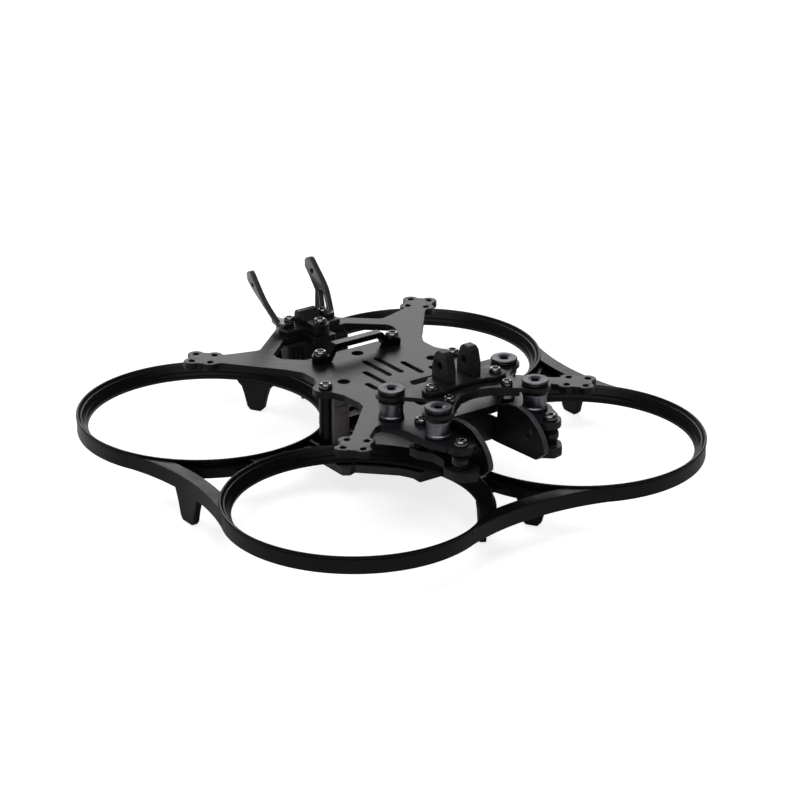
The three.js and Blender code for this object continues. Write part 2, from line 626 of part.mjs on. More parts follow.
addPart('damped_bracket', dampedBracket(), moulded);
addPart('prong_mount', prongMount(), moulded);
for (const [name, sx, sy] of quarters) {
  const spot = sy > 0 ? POST_REAR : POST_FRONT;
  addPart(`damper_post_${name}`, damperPost(sx * spot.x, spot.y), anodised);
  addPart(`damper_grommet_${name}`, damperGrommet(sx * spot.x, spot.y), rubber);
  addPart(`damper_cap_${name}`, damperCap(sx * spot.x, spot.y), capMetal);
}
addPart('cage_cradle', cageCradle(), moulded);

export default group;
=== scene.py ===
import math

import bmesh
import bpy
from mathutils import Matrix, Vector
from mathutils.geometry import delaunay_2d_cdt


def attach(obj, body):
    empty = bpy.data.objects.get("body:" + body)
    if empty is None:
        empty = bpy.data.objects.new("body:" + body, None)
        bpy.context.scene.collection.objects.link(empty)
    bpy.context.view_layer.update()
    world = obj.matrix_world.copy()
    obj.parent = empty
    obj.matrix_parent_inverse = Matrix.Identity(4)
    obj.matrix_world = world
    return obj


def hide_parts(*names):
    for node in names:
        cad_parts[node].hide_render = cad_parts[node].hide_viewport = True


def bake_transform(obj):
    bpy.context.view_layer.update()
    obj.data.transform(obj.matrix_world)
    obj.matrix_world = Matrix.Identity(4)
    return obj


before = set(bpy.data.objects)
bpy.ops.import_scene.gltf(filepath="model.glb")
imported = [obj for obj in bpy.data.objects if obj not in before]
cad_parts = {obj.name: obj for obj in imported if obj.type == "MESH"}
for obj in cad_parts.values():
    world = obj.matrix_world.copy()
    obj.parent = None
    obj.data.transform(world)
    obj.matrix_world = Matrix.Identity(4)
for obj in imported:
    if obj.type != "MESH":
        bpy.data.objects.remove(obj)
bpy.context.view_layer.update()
scene = bpy.context.scene

MM = 0.001
DECK = 34.5            # top of the carbon deck above the ground
DECK_BOTTOM = 32.1
MOTOR = 44.55
RING_TOP = DECK - 18.45
RING_BOTTOM = DECK - 24.4
RING_WALL = 43.07
RING_INSIDE = 39.3
WAIST = 79.7
BAND_TOP = DECK - 19.1
STANDOFF_X, STANDOFF_Y = 25.8, -0.8
HANDLE_X, HANDLE_Y = 14.7, 18.5
HUB_POST_X, HUB_POST_Y = 22.4, -4.3
WEB_THICK = 2.2        # floor web of the joins
RING_CUT = 42.4        # the joins end at this radius, inside the ring's wall
POST_REAR = (22.6, -33.4)
POST_FRONT = (19.3, -54.2)
POST_TOP = DECK + 5.8
BRACKET_BOTTOM = DECK + 6.9
BRACKET_TOP = DECK + 8.4
CAP_BOTTOM = DECK + 9.5
CAP_TOP = DECK + 10.1
WING_TOP = DECK - 8.2
WING_BOTTOM = DECK - 11.4
BALL_FRONT = (17.8, -64.1)
BALL_REAR = (17.2, -42.5)
SIDES = (("left", 1), ("right", -1))
QUARTERS = (("front_left", 1, -1), ("front_right", -1, -1), ("rear_left", 1, 1), ("rear_right", -1, 1))

# ---------------------------------------------------------------- camera
camera_data = bpy.data.cameras.new("camera")
camera = bpy.data.objects.new("camera", camera_data)
scene.collection.objects.link(camera)
scene.camera = camera
CAMERA_AZIMUTH, CAMERA_ELEVATION = math.radians(-35.62), math.radians(22.70)
CAMERA_TARGET = Vector((6.98, 3.15, 20.74)) * MM
camera_back = Vector((math.sin(CAMERA_AZIMUTH) * math.cos(CAMERA_ELEVATION),
                      -math.cos(CAMERA_AZIMUTH) * math.cos(CAMERA_ELEVATION),
                      math.sin(CAMERA_ELEVATION)))
camera.rotation_mode = "QUATERNION"
camera.location = CAMERA_TARGET + camera_back * 1.0282
camera.rotation_quaternion = (-camera_back).to_track_quat("-Z", "Y")
camera_data.sensor_width = 36.0
camera_data.lens = 3060.6 * 36.0 / 800.0
camera_data.clip_start, camera_data.clip_end = 0.05, 50.0


# ---------------------------------------------------------------- outlines
def circle(x, y, radius, count=48):
    return [(x + radius * math.cos(2 * math.pi * i / count), y + radius * math.sin(2 * math.pi * i / count))
            for i in range(count)]


def arc(x, y, radius, start, end, steps):
    angles = [math.radians(start + (end - start) * i / steps) for i in range(steps + 1)]
    return [(x + radius * math.cos(a), y + radius * math.sin(a)) for a in angles]


def rectangle(x0, x1, y0, y1):
    return [(x0, y0), (x1, y0), (x1, y1), (x0, y1)]


def mirrored(half):
    """The outline given by its +X half and the same points on the other side."""
    return list(half) + [(-x, y) for x, y in reversed(half) if x > 0]


def fillet(points, radius, steps=4):
    """The closed outline with each corner rounded; radius is one number or one for each corner."""
    count = len(points)
    radii = [radius] * count if isinstance(radius, (int, float)) else radius
    out = []
    for i, point in enumerate(points):
        p = Vector(point[:2])
        before = Vector(points[i - 1][:2]) - p
        after = Vector(points[(i + 1) % count][:2]) - p
        if radii[i] <= 0 or before.length < 1e-4 or after.length < 1e-4:
            out.append(tuple(p))
            continue
        angle = before.angle(after)
        if angle > math.radians(176):
            out.append(tuple(p))
            continue
        reach = min(radii[i] / math.tan(angle / 2), before.length * 0.48, after.length * 0.48)
        start, end = p + before.normalized() * reach, p + after.normalized() * reach
        for k in range(steps + 1):
            t = k / steps
            out.append(tuple(start * (1 - t) ** 2 + p * (2 * t * (1 - t)) + end * t ** 2))
    return out


def signed_area(loop):
    return sum(loop[i - 1][0] * loop[i][1] - loop[i][0] * loop[i - 1][1] for i in range(len(loop))) / 2


def covered(polygons, cut_from):
    """Triangles inside any of the first polygons and none of those from index cut_from on."""
    points, faces = [], []
    for polygon in polygons:
        faces.append(list(range(len(points), len(points) + len(polygon))))
        points.extend(Vector(p) for p in polygon)
    verts, _, tris, from_verts, _, from_faces = delaunay_2d_cdt(points, [], faces, 0, 1e-5)
    kept = [tri for tri, source in zip(tris, from_faces)
            if source and min(source) < cut_from and max(source) < cut_from]
    return verts, kept, from_verts


def region(add, cut=()):
    """Outer loops run anticlockwise and holes clockwise."""
    polygons = [p if signed_area(p) > 0 else list(reversed(p)) for p in list(add) + list(cut)]
    verts, tris, _ = covered(polygons, len(add))
    edges = {(t[i - 1], t[i]) for t in tris for i in range(len(t))}
    onward = {a: b for a, b in edges if (b, a) not in edges}
    loops = []
    while onward:
        start = min(onward)
        loop, at = [], start
        while at in onward:
            loop.append(at)
            at = onward.pop(at)
        points = [tuple(verts[i]) for i in loop]
        clean = [p for i, p in enumerate(points) if (Vector(p) - Vector(points[i - 1])).length > 0.03]
        if len(clean) > 2:
            loops.append(clean)
    return loops


def inset(loop, distance):
    """Moves a loop towards the material, which lies on its left."""
    out = []
    for i, point in enumerate(loop):
        p = Vector(point)
        d1 = (p - Vector(loop[i - 1])).normalized()
        d2 = (Vector(loop[(i + 1) % len(loop)]) - p).normalized()
        n1, n2 = Vector((-d1.y, d1.x)), Vector((-d2.y, d2.x))
        bisector = (n1 + n2) / max(1 + n1.dot(n2), 0.35)
        out.append(tuple(p + bisector * distance))
    return out


# ---------------------------------------------------------------- solids
SIDEWAYS = Matrix(((0, 0, 1, 0), (1, 0, 0, 0), (0, 1, 0, 0),
                   (0, 0, 0, 1)))     # outline in Y-Z, thickness along X
CROSSWAYS = Matrix(((1, 0, 0, 0), (0, 0, 1, 0), (0, 1, 0, 0),
                    (0, 0, 0, 1)))    # outline in X-Z, thickness along Y


def edge_rings(edge, low, high, steps):
    """How far in and how high each ring of a rounded edge lies."""
    rings = []
    for k in range(steps + 1):
        a = math.pi / 2 * k / steps
        rings.append((edge * (1 - math.sin(a)), low + edge * (1 - math.cos(a))))
    return rings + [(distance, high + low - z) for distance, z in reversed(rings)]


def cap_triangles(loops):
    """Triangles over inset loops, as indices into all their points, or None if a loop crosses itself."""
    starts, total = [], 0
    for p in loops:
        starts.append(total)
        total += len(p)
    order = sorted(range(len(loops)), key=lambda i: signed_area(loops[i]) < 0)
    to_row, polygons = [], []
    for i in order:
        ids = list(range(len(loops[i])))
        if signed_area(loops[i]) < 0:
            ids.reverse()
        polygons.append([loops[i][k] for k in ids])
        to_row.extend(starts[i] + k for k in ids)
    holes_from = sum(signed_area(p) >= 0 for p in loops)
    verts, tris, from_verts = covered(polygons, holes_from)
    if len(verts) != total or any(len(f) != 1 for f in from_verts):
        return None
    return [[to_row[from_verts[v][0]] for v in tri] for tri in tris]


def plate(add, low, high, edge=0.25, cut=(), steps=2, matrix=None):
    """A slab with rounded edges, whose outline is the union of some outlines less others."""
    loops = region(add, cut)
    for share in (1.0, 0.7, 0.45, 0.25, 0.1, 0.0):
        tris = cap_triangles([inset(loop, edge * share) for loop in loops])
        if tris is not None:
            break
    rings = edge_rings(edge * share, low, high, steps) if share else [(0, low), (0, high)]
    bm = bmesh.new()
    bottom, top = [], []
    for loop in loops:
        stack = [[bm.verts.new((x, y, z)) for x, y in inset(loop, distance)] for distance, z in rings]
        bottom.extend(stack[0])
        top.extend(stack[-1])
        count = len(loop)
        for lower, upper in zip(stack, stack[1:]):
            for i in range(count):
                j = (i + 1) % count
                bm.faces.new((lower[i], lower[j], upper[j], upper[i]))
    for a, b, c in tris:
        bm.faces.new((bottom[c], bottom[b], bottom[a]))
        bm.faces.new((top[a], top[b], top[c]))
    if matrix is not None:
        bm.transform(matrix)
    return bm


def lathe(profile, x=0.0, y=0.0, count=64, hexagon=()):
    """Turns (radius, z) points about a vertical line. Points whose index is in hexagon make a hexagon."""
    bm = bmesh.new()
    rows = []
    for index, (radius, z) in enumerate(profile):
        if radius < 1e-6:
            rows.append([bm.verts.new((x, y, z))])
            continue
        row = []
        for i in range(count):
            a = 2 * math.pi * i / count
            r = radius
            if index in hexagon:
                r = radius / math.cos((a + math.pi / 6) % (math.pi / 3) - math.pi / 6)
            row.append(bm.verts.new((x + r * math.cos(a), y + r * math.sin(a), z)))
        rows.append(row)
    closed = profile[0][0] > 1e-6
    pairs = list(zip(rows, rows[1:])) + ([(rows[-1], rows[0])] if closed else [])
    for lower, upper in pairs:
        for i in range(count):
            j = (i + 1) % count
            if len(lower) == 1 and len(upper) == 1:
                continue
            if len(lower) == 1:
                bm.faces.new((lower[0], upper[j], upper[i]))
            elif len(upper) == 1:
                bm.faces.new((lower[i], lower[j], upper[0]))
            else:
                bm.faces.new((lower[i], lower[j], upper[j], upper[i]))
    bmesh.ops.recalc_face_normals(bm, faces=bm.faces)
    return bm


def block(x0, x1, y0, y1, z0, z1, edge=0.3, corner=0.4):
    return plate([fillet(rectangle(x0, x1, y0, y1), corner)], z0, z1, edge)


def bore(x, y, radius, low, high, count=32):
    return lathe([(0, low), (radius, low), (radius, high), (0, high)], x, y, count)


def cross_bore(y, z, radius, left, right, count=32):
    bm = lathe([(0, left), (radius, left), (radius, right), (0, right)], 0, 0, count)
    bm.transform(Matrix(((0, 0, 1, 0), (1, 0, 0, y), (0, 1, 0, z), (0, 0, 0, 1))))
    return bm


def to_mesh(bm):
    bmesh.ops.remove_doubles(bm, verts=bm.verts, dist=1e-4)
    bmesh.ops.recalc_face_normals(bm, faces=bm.faces)
    mesh = bpy.data.meshes.new("work")
    bm.to_mesh(mesh)
    bm.free()
    return mesh


def combine(base, adds=(), cuts=()):
    """One closed mesh from solids that are joined and cut."""
    holder = bpy.data.objects.new("work", to_mesh(base))
    scene.collection.objects.link(holder)
    tools = []
    for operation, solids in (("UNION", adds), ("DIFFERENCE", cuts)):
        for solid in solids:
            tool = bpy.data.objects.new("tool", to_mesh(solid))
            scene.collection.objects.link(tool)
            modifier = holder.modifiers.new("cut", "BOOLEAN")
            modifier.object, modifier.operation, modifier.solver = tool, operation, "MANIFOLD"
            tools.append(tool)
    graph = bpy.context.evaluated_depsgraph_get()
    mesh = bpy.data.meshes.new_from_object(holder.evaluated_get(graph))
    for o in [holder, *tools]:
        data = o.data
        bpy.data.objects.remove(o)
        bpy.data.meshes.remove(data)
    bm = bmesh.new()
    bm.from_mesh(mesh)
    bpy.data.meshes.remove(mesh)
    return bm


def mirror_x(bm):
    """The same solid on the other side."""
    copy = bm.copy()
    copy.transform(Matrix.Scale(-1, 4, (1, 0, 0)))
    bmesh.ops.reverse_faces(copy, faces=copy.faces)
    return copy


def piece(name, bm, material, body, nodes=(), sharp=38):
    """A shown object in metres that rides on a CAD body.

    If body is not a name, its transform is only baked in and it rides on no body.
    """
    bmesh.ops.remove_doubles(bm, verts=bm.verts, dist=1e-4)
    bmesh.ops.dissolve_degenerate(bm, edges=bm.edges, dist=1e-4)
    bmesh.ops.recalc_face_normals(bm, faces=bm.faces)
    bm.transform(Matrix.Scale(MM, 4))
    mesh = bpy.data.meshes.new(name)
    bm.to_mesh(mesh)
    bm.free()
    mesh.polygons.foreach_set("use_smooth", [True] * len(mesh.polygons))
    mesh.set_sharp_from_angle(angle=math.radians(sharp))
    obj = bpy.data.objects.new(name, mesh)
    scene.collection.objects.link(obj)
    mesh.materials.append(material)
    weighted = obj.modifiers.new("normals", "WEIGHTED_NORMAL")
    weighted.keep_sharp, weighted.weight = True, 80
    if nodes:
        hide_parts(*nodes)
    if isinstance(body, str):
        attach(obj, body)
    else:
        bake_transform(obj)
    return obj


# ---------------------------------------------------------------- materials
def new_material(name):
    material = bpy.data.materials.new(name)
    material.use_nodes = True
    tree = material.node_tree
    shader = tree.nodes["Principled BSDF"]
    coords = tree.nodes.new("ShaderNodeTexCoord")
    return material, tree, shader, coords.outputs["Object"]


def node(tree, kind, **values):
    made = tree.nodes.new(kind)
    for key, value in values.items():
        setattr(made, key, value)
    return made


def noise(tree, where, size_mm, detail=3.0, rough=0.5):
    made = node(tree, "ShaderNodeTexNoise")
    made.inputs["Scale"].default_value = 1000.0 / size_mm
    made.inputs["Detail"].default_value = detail
    made.inputs["Roughness"].default_value = rough
    tree.links.new(where, made.inputs["Vector"])
    return made.outputs["Fac"]


def remap(tree, value, low, high, from_low=0.3, from_high=0.7):
    made = node(tree, "ShaderNodeMapRange")
    for key, number in (("From Min", from_low), ("From Max", from_high), ("To Min", low), ("To Max", high)):
        made.inputs[key].default_value = number
    tree.links.new(value, made.inputs["Value"])
    return made.outputs["Result"]


def maths(tree, operation, first, second=None):
    made = node(tree, "ShaderNodeMath", operation=operation)
    for index, value in enumerate((first, second)):
        if value is None:
            continue
        if isinstance(value, (int, float)):
            made.inputs[index].default_value = value
        else:
            tree.links.new(value, made.inputs[index])
    return made.outputs[0]


def mix_colours(tree, factor, first, second):
    made = node(tree, "ShaderNodeMix", data_type="RGBA")
    tree.links.new(factor, made.inputs["Factor"])
    for socket, value in (("A", first), ("B", second)):
        target = [s for s in made.inputs if s.name == socket and s.type == "RGBA"][0]
        if isinstance(value, tuple):
            target.default_value = (*value, 1.0)
        else:
            tree.links.new(value, target)
    return [s for s in made.outputs if s.type == "RGBA"][0]


def bump(tree, shader, height, strength, distance_mm, onto=None):
    made = node(tree, "ShaderNodeBump")
    made.inputs["Strength"].default_value = strength
    made.inputs["Distance"].default_value = distance_mm * MM
    tree.links.new(height, made.inputs["Height"])
    if onto is not None:
        tree.links.new(onto, made.inputs["Normal"])
    tree.links.new(made.outputs["Normal"], shader.inputs["Normal"])
    return made.outputs["Normal"]


def edge_highlight_mask(tree, radius_mm=0.35):
    """1 along convex edges, from how a small bevel turns the surface; it masks a painted edge highlight."""
    geometry = node(tree, "ShaderNodeNewGeometry")
    bevel = node(tree, "ShaderNodeBevel", samples=4)
    bevel.inputs["Radius"].default_value = radius_mm * MM
    dot = node(tree, "ShaderNodeVectorMath", operation="DOT_PRODUCT")
    tree.links.new(geometry.outputs["Normal"], dot.inputs[0])
    tree.links.new(bevel.outputs["Normal"], dot.inputs[1])
    return remap(tree, dot.outputs["Value"], 1.0, 0.0, 0.80, 0.985)


def plastic(name, dark, light, rough_low, rough_high, grain_mm=0.28, grain=0.12, specular=0.5):
    """Injection-moulded plastic: fine spark-eroded grain, slow tone drift, and convex edges lightened by a
    painted highlight.
    """
    material, tree, shader, where = new_material(name)
    drift = noise(tree, where, 22.0, 2.0)
    fine = noise(tree, where, grain_mm, 2.0, 0.6)
    base = mix_colours(tree, remap(tree, drift, 0.0, 1.0), dark, light)
    # painted highlight: convex edges are lightened towards a brighter copy of the plastic's colour
    painted_edge_highlight = maths(tree, "MULTIPLY", edge_highlight_mask(tree), 0.35)
    colour = mix_colours(tree, painted_edge_highlight, base, tuple(min(1.0, c * 2.2 + 0.008) for c in light))
    tree.links.new(colour, shader.inputs["Base Color"])
    blotches = noise(tree, where, 6.0, 4.0, 0.6)
    tree.links.new(remap(tree, blotches, rough_low, rough_high), shader.inputs["Roughness"])
    shader.inputs["Specular IOR Level"].default_value = specular
    bump(tree, shader, fine, grain, 0.06)
    return material


def carbon_plate(name, flat_axis="Z", cut_edge_tone_and_highlight=(0.014, 0.014, 0.0175)):
    """Sanded carbon-fibre laminate: a faint 2 x 2 twill under a satin top, with plies on the cut edge."""
    material, tree, shader, where = new_material(name)
    tow = 1.6
    parts = node(tree, "ShaderNodeSeparateXYZ")
    tree.links.new(where, parts.inputs[0])
    turned_x = maths(tree, "ADD", parts.outputs["X"], parts.outputs["Z"])
    u = maths(tree, "MULTIPLY", turned_x, 1000.0 / tow)
    v = maths(tree, "MULTIPLY", parts.outputs["Y"], 1000.0 / tow)
    step = maths(tree, "ADD", maths(tree, "FLOOR", u), maths(tree, "FLOOR", v))
    over = maths(tree, "LESS_THAN", maths(tree, "PINGPONG", maths(tree, "ADD", step, 0.5), 2.0), 1.0)
    lens_u = maths(tree, "PINGPONG", u, 0.5)
    lens_v = maths(tree, "PINGPONG", v, 0.5)
    one_way = maths(tree, "MULTIPLY", over, lens_v)
    other_way = maths(tree, "MULTIPLY", maths(tree, "SUBTRACT", 1.0, over), lens_u)
    tows = maths(tree, "ADD", one_way, other_way)
    fibres = noise(tree, where, 0.35, 3.0, 0.7)
    base = mix_colours(tree, over, (0.0080, 0.0078, 0.0102), (0.0095, 0.0093, 0.0122))
    drift = remap(tree, noise(tree, where, 18.0, 2.0), 0.0, 0.5)
    tinted = mix_colours(tree, drift, base, (0.014, 0.014, 0.0175))
    facing = node(tree, "ShaderNodeSeparateXYZ")
    tree.links.new(node(tree, "ShaderNodeNewGeometry").outputs["True Normal"], facing.inputs[0])
    on_edge = maths(tree, "LESS_THAN", maths(tree, "ABSOLUTE", facing.outputs[flat_axis]), 0.5)
    # side faces take the cut-edge colour: the laminate's own lighter cut edge, and in the cheeks' pale value
    # also a painted highlight
    tinted = mix_colours(tree, on_edge, tinted, cut_edge_tone_and_highlight)
    # painted highlight: convex edges are lightened towards a pale grey
    painted_edge_highlight = maths(tree, "MULTIPLY", edge_highlight_mask(tree, 0.3), 0.4)
    tree.links.new(mix_colours(tree, painted_edge_highlight, tinted, (0.09, 0.09, 0.1)), shader.inputs["Base Color"])
    satin = remap(tree, fibres, 0.31, 0.37)
    tree.links.new(maths(tree, "ADD", satin, maths(tree, "MULTIPLY", over, 0.015)),
                   shader.inputs["Roughness"])
    shader.inputs["Specular IOR Level"].default_value = 0.38
    shader.inputs["Specular Tint"].default_value = (0.96, 0.95, 1.0, 1.0)
    first = bump(tree, shader, tows, 0.035, 0.12)
    plies = node(tree, "ShaderNodeTexWave", wave_type="BANDS", bands_direction="Z")
    plies.inputs["Scale"].default_value = 1000.0 / 0.4 / 20.0
    plies.inputs["Distortion"].default_value = 1.5
    tree.links.new(where, plies.inputs["Vector"])
    bump(tree, shader, plies.outputs["Fac"], 0.10, 0.05, first)
    return material


def metal(name, colour, rough_low, rough_high, lathe_rings=False, metallic=1.0, scratch=0.05):
    """Machined metal with fine tool marks and convex edges lightened by a painted highlight."""
    material, tree, shader, where = new_material(name)
    shader.inputs["Metallic"].default_value = metallic
    blotches = noise(tree, where, 3.0, 4.0, 0.65)
    # painted highlight: convex edges are lightened towards a brighter copy of the metal's colour
    painted_edge_highlight = maths(tree, "MULTIPLY", edge_highlight_mask(tree, 0.25), 0.5)
    edge_highlight_colour = tuple(min(1.0, c * 2.0 + 0.03) for c in colour)
    base = mix_colours(tree, remap(tree, blotches, 0.0, 0.35), colour, tuple(c * 0.8 for c in colour))
    tree.links.new(mix_colours(tree, painted_edge_highlight, base, edge_highlight_colour), shader.inputs["Base Color"])
    tree.links.new(remap(tree, blotches, rough_low, rough_high), shader.inputs["Roughness"])
    if lathe_rings:
        marks = node(tree, "ShaderNodeTexWave", wave_type="RINGS", rings_direction="SPHERICAL")
        marks.inputs["Scale"].default_value = 1000.0 / 0.25 / 20.0
        marks.inputs["Distortion"].default_value = 0.6
        tree.links.new(where, marks.inputs["Vector"])
        bump(tree, shader, marks.outputs["Fac"], scratch, 0.03)
    else:
        bump(tree, shader, noise(tree, where, 0.12, 2.0, 0.7), scratch, 0.03)
    return material


def rubber_skin(name):
    material, tree, shader, where = new_material(name)
    bloom = noise(tree, where, 2.5, 4.0, 0.6)
    tree.links.new(mix_colours(tree, remap(tree, bloom, 0.0, 1.0), (0.012, 0.012, 0.014),
                               (0.022, 0.022, 0.025)),
                   shader.inputs["Base Color"])
    tree.links.new(remap(tree, bloom, 0.15, 0.24), shader.inputs["Roughness"])
    shader.inputs["Sheen Weight"].default_value = 0.15
    shader.inputs["Sheen Roughness"].default_value = 0.4
    bump(tree, shader, noise(tree, where, 0.2, 2.0), 0.15, 0.05)
    return material


guard_plastic = plastic("guard_plastic", (0.0035, 0.0033, 0.0033), (0.0060, 0.0058, 0.0060), 0.30, 0.40,
                        specular=0.28)
mount_plastic = plastic("mount_plastic", (0.012, 0.012, 0.014), (0.017, 0.017, 0.0195), 0.32, 0.44, 0.2,
                        specular=0.38)
prong_plastic = plastic("prong_plastic", (0.015, 0.0148, 0.0185), (0.022, 0.0215, 0.027), 0.40, 0.52, 0.2,
                        specular=0.4)
wing_plastic = plastic("wing_plastic", (0.020, 0.0198, 0.024), (0.030, 0.0295, 0.036), 0.36, 0.48, 0.2,
                       specular=0.45)
tray_plastic = plastic("tray_plastic", (0.07, 0.068, 0.066), (0.10, 0.097, 0.094), 0.30, 0.42, specular=0.5)
clip_plastic = plastic("clip_plastic", (0.24, 0.212, 0.206), (0.31, 0.276, 0.268), 0.40, 0.50, 0.2)
carbon = carbon_plate("carbon_laminate")
# the cheeks' pale side faces are the cut edge's tone with a painted highlight added
cheek_carbon = carbon_plate("cheek_laminate", "X", (0.10, 0.10, 0.11))
anodised = metal("black_anodised", (0.011, 0.011, 0.013), 0.26, 0.36, metallic=0.5)
arm_metal = metal("arm_anodised", (0.17, 0.17, 0.182), 0.32, 0.42, metallic=0.95)
post_metal = metal("post_anodised", (0.34, 0.34, 0.40), 0.27, 0.36, metallic=0.95)
cap_metal = metal("cap_metal", (0.105, 0.105, 0.118), 0.30, 0.42, metallic=0.9, scratch=0.1)
steel = metal("polished_steel", (0.30, 0.30, 0.31), 0.12, 0.20)
rubber = rubber_skin("rubber")


# ---------------------------------------------------------------- propeller guard
def ring_solid():
    profile = [
        (RING_WALL, RING_BOTTOM), (RING_WALL, DECK - 19.62), (RING_WALL - 0.22, DECK - 19.52),
        (RING_WALL - 0.22, DECK - 19.42), (43.3, DECK - 19.28), (43.3, DECK - 18.85), (43.05, RING_TOP),
        (42.55, RING_TOP - 0.02), (42.25, DECK - 18.8), (41.75, DECK - 19.4), (41.35, DECK - 19.5),
        (40.25, DECK - 21.0), (40.05, DECK - 21.45), (39.45, DECK - 22.3), (RING_INSIDE, DECK - 22.65),
        (RING_INSIDE, DECK - 23.55), (39.6, DECK - 23.85),
    ]
    bm = lathe(fillet(profile, 0.12, 2), 0, 0, 160)
    return bm


def wrapped_plate(outline, centre, radius, outward, thick, heading):
    """A plate whose outline is in arc length and height, bent round a vertical axis at centre."""
    bm = plate([outline], 0, thick, 0.3)
    for step in range(-8, 9):
        geometry = bm.verts[:] + bm.edges[:] + bm.faces[:]
        bmesh.ops.bisect_plane(bm, geom=geometry, dist=1e-4, plane_co=(step + 0.013, 0, 0),
                               plane_no=(1, 0, 0))
    for v in bm.verts:
        angle = heading + v.co.x / radius
        r = radius + outward * v.co.z
        v.co = Vector((centre[0] + r * math.cos(angle), centre[1] + r * math.sin(angle), v.co.y))
    bmesh.ops.recalc_face_normals(bm, faces=bm.faces)
    return bm


def foot_outline(tip, root, top):
    half = [(root + 1.4, top), (root - 0.8, RING_BOTTOM - 1.5), ((tip + root) / 2 - 0.4, RING_BOTTOM - 4.6),
            (tip, 1.3), (tip - 1.2, 0)]
    return fillet(mirrored(half), 0.7, 3)


def band_ring(centre, inner, outer, reach):
    return arc(centre, 0, inner, 180 - reach, 180 + reach, 40) + arc(centre, 0, outer, 180 + reach,
                                                                     180 - reach, 40)


def join_solids(with_foot):
    """The bridge between two rings on the +X side: band, flange, floor web, ribs and skins."""
    span = WAIST - MOTOR
    radius = (span * span + MOTOR * MOTOR - RING_WALL * RING_WALL) / (2 * (RING_WALL - span))
    centre = WAIST + radius
    reach = math.degrees(math.atan2(MOTOR, centre - MOTOR)) - 1.2
    keep = fillet(rectangle(56.6, 74.6, -9.2, 9.2), 2.2)
    between = [(17.5, -15), (WAIST + 2, -15), (WAIST + 2, 15), (17.5, 15)]
    rings = [circle(MOTOR, MOTOR, RING_CUT, 160), circle(MOTOR, -MOTOR, RING_CUT, 160)]
    fringe = [(WAIST - 12, -20), (WAIST + 8, -36), (WAIST + 8, 36), (WAIST - 12, 20)]
    beyond = circle(centre, 0, radius + 0.6, 240)
    solids = [
        plate([band_ring(centre, radius, radius + 2.6, reach)], RING_BOTTOM, BAND_TOP, 0.35, rings),
        plate([band_ring(centre, radius + 0.4, radius + 5.0, reach)], BAND_TOP - 1.6, BAND_TOP, 0.3,
              rings),
        plate([fringe], RING_BOTTOM, RING_BOTTOM + WEB_THICK, 0.2,
              cut=[*rings, beyond, keep, rectangle(0, 74, -60, 60)]),
        plate([between], RING_BOTTOM, RING_BOTTOM + WEB_THICK, 0.2, cut=[*rings, keep, beyond]),
        plate([fillet(rectangle(31.0, 54.0, -0.7, 0.7), 0.3)], RING_BOTTOM, RING_TOP - 1.4, 0.15),
    ]
    for x in (29.3, 41.2, 53.6):
        solids.append(plate([rectangle(x - 0.6, x + 0.6, -9, 9)], RING_BOTTOM, RING_TOP - 0.9, 0.15,
                            cut=rings))
    solids.append(plate([rectangle(41.2, 53.6, -4, 4)], RING_TOP - 2.0, RING_TOP - 1.0, 0.15, cut=rings))
    for side in (-1, 1):
        shell = circle(MOTOR, side * MOTOR, 44.7, 160)
        limit = [rectangle(-9, 53.8, -99, 99), rectangle(76.4, 99, -99, 99), rectangle(-9, 99, 18, 99),
                 rectangle(-9, 99, -99, -18)]
        solids.append(plate([shell], RING_BOTTOM, RING_BOTTOM + 3.4, 0.2,
                            cut=[circle(MOTOR, side * MOTOR, RING_CUT, 160), *limit]))
    boss = [(0, RING_BOTTOM + 0.1), (3.5, RING_BOTTOM + 0.1), (3.5, RING_BOTTOM + 2.8),
            (3.1, RING_BOTTOM + 3.2),
            (0, RING_BOTTOM + 3.2)]
    solids.append(lathe(boss, STANDOFF_X, 0, 48))
    if with_foot:
        solids.append(wrapped_plate(foot_outline(3.9, 6.9, BAND_TOP - 1.0), (centre, 0), radius, 1, 2.3,
                                    math.pi))
    return solids


def guard():
    rings, feet = [], []
    for _, sx, sy in QUARTERS:
        bm = ring_solid()
        bm.transform(Matrix.Translation((sx * MOTOR, sy * MOTOR, 0)))
        rings.append(bm)
        away = math.radians(180 - 31.5 if sx * sy > 0 else 180 + 31.5) + (0 if sx > 0 else math.pi)
        feet.append(wrapped_plate(foot_outline(3.1, 5.9, RING_BOTTOM + 0.9), (sx * MOTOR, sy * MOTOR),
                                  RING_INSIDE,
                                  1, 2.3, away))
    joins = []
    for turn, with_foot in ((0, True), (180, True), (90, False), (-90, False)):
        for bm in join_solids(with_foot):
            bm.transform(Matrix.Rotation(math.radians(turn), 4, "Z"))
            joins.append(bm)
    return combine(rings[0], rings[1:] + joins + feet)


guard_nodes = [f"duct_ring_{q}" for q, _,
               _ in QUARTERS] + [f"duct_join_{s}" for s in ("left", "right", "rear", "front")]
piece("guard_moulding", guard(), guard_plastic, "frame", guard_nodes)


